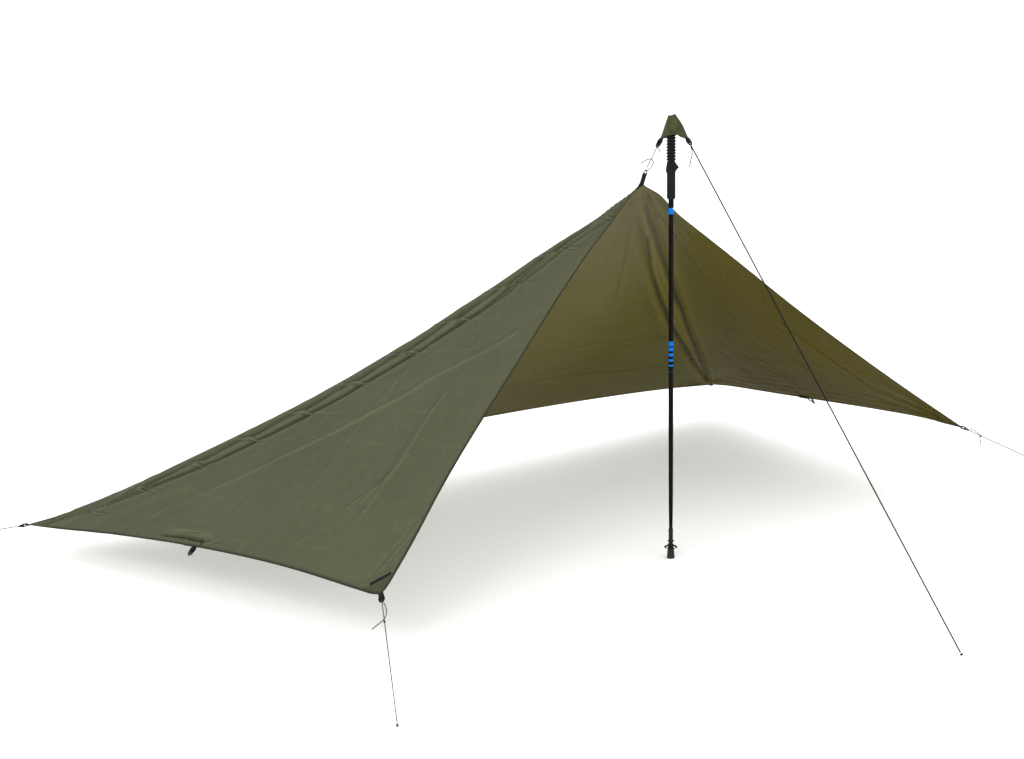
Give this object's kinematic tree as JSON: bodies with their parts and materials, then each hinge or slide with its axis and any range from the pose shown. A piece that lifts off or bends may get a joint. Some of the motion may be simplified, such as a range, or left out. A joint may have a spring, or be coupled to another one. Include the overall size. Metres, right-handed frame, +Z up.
{
  "type": "camping tarp",
  "caption": "Rectangular ripstop tarp pitched as a half-pyramid lean-to: a fabric cap on a folding trekking pole carries the apex, taut guylines run from corners and front.",
  "frame": {"origin": "centre of the pole's rubber foot, on the ground", "axes": "+Z up, +Y to the rear of the shelter, -Y towards the front guyline, +X to the right for someone who faces the rear"},
  "size_m": [3.451, 2.9214, 1.3389],
  "materials": {
    "olive_cloth": "coated ripstop cloth, matte",
    "black_webbing": "woven webbing",
    "black_plastic": "moulded",
    "black_foam": "closed-cell foam",
    "black_shaft": "satin black",
    "blue_collar": "satin blue",
    "bright_metal": "bright",
    "black_metal": "black coated wire",
    "bare_alloy": "drawn tube",
    "black_rubber": "moulded",
    "grey_cord": "braided cord",
    "black_cord": "braided cord"
  },
  "bodies": {
    "canopy": {"apex_ring": "black_metal", "canopy_left_wing": "olive_cloth", "canopy_rear_panel": "olive_cloth", "canopy_right_wing": "olive_cloth", "cord_apex": "grey_cord", "cord_front_guy": "black_cord", "cord_front_left": "grey_cord", "cord_front_right": "grey_cord", "cord_rear_left": "grey_cord", "cord_rear_right": "grey_cord", "corner_tab": "black_webbing", "knot_front_guy": "black_cord", "knot_front_left": "grey_cord", "knot_front_right": "grey_cord", "knot_rear_left": "grey_cord", "knot_rear_right": "grey_cord", "patch_apex": "olive_cloth", "patch_front_left": "olive_cloth", "patch_front_right": "olive_cloth", "patch_rear_left": "olive_cloth", "patch_rear_right": "olive_cloth", "pole_cap": "olive_cloth", "tail_apex": "grey_cord", "tail_cap_rear": "grey_cord", "tail_front_guy": "black_cord", "tail_front_left": "grey_cord", "tail_front_right": "grey_cord", "tensioner_cap_front": "black_plastic", "tensioner_cap_rear": "black_plastic", "tensioner_front_left": "black_plastic", "tensioner_front_right": "black_plastic", "tensioner_rear_left": "black_plastic", "tensioner_rear_right": "black_plastic", "webbing_apex": "black_webbing", "webbing_cap_front": "black_webbing", "webbing_cap_rear": "black_webbing", "webbing_front_left": "black_webbing", "webbing_front_right": "black_webbing", "webbing_mid_left": "black_webbing", "webbing_mid_rear": "black_webbing", "webbing_mid_right": "black_webbing", "webbing_rear_left": "black_webbing", "webbing_rear_right": "black_webbing"},
    "pole_handle": {"grip": "black_foam", "grip_head": "black_plastic", "grip_sleeve": "black_foam", "outer_tube": "black_shaft", "shaft_collar": "blue_collar"},
    "pole_shaft": {"upper_shaft": "black_shaft", "shaft_spigot": "bare_alloy", "inner_cord": "grey_cord"},
    "release_button": {"release_button": "bright_metal"},
    "pole_lower": {"lower_shaft": "black_shaft", "tip_ferrule": "black_plastic", "steel_tip": "bright_metal", "basket": "black_plastic"},
    "rubber_foot": {"rubber_foot": "black_rubber"},
    "swing_mid_left": {"tensioner_mid_left": "black_plastic"},
    "swing_mid_right": {"tensioner_mid_right": "black_plastic"},
    "swing_mid_rear": {"tensioner_mid_rear": "black_plastic"}
  },
  "joints": [
    {"name": "pole_withdraw", "type": "slide", "parent": "canopy", "child": "pole_handle", "axis": [0, 0, -1], "range_m": [0, 0.075]},
    {"name": "shaft_slide", "type": "slide", "parent": "pole_handle", "child": "pole_shaft", "axis": [0, 0, 1], "range_m": [0, 0.04]},
    {"name": "release_button_press", "type": "slide", "parent": "pole_handle", "child": "release_button", "axis": [-0.146, 0.9893, 0], "range_m": [0, 0.00035], "stiffness_N_per_m": 500},
    {"name": "lower_shaft_pull", "type": "slide", "parent": "pole_shaft", "child": "pole_lower", "axis": [0, 0, -1], "range_m": [0, 0.045]},
    {"name": "rubber_foot_pull", "type": "slide", "parent": "pole_lower", "child": "rubber_foot", "axis": [0, 0, -1], "range_m": [0, 0.04]},
    {"name": "swing_mid_left_hinge", "type": "hinge", "parent": "canopy", "child": "swing_mid_left", "pos_m": [-1.30091, 0.59167, 0.15313], "axis": [-0.227, 0.972, -0.061], "range_deg": [-80, 80]},
    {"name": "swing_mid_right_hinge", "type": "hinge", "parent": "canopy", "child": "swing_mid_right", "pos_m": [1.32701, 0.61723, 0.19692], "axis": [-0.4719, -0.8357, 0.281], "range_deg": [-60, 100]},
    {"name": "swing_mid_rear_hinge", "type": "hinge", "parent": "canopy", "child": "swing_mid_rear", "pos_m": [-0.00187, 1.25072, 0.18683], "axis": [0.9999, -0.0101, 0.0103], "range_deg": [-38, 122]}
  ]
}
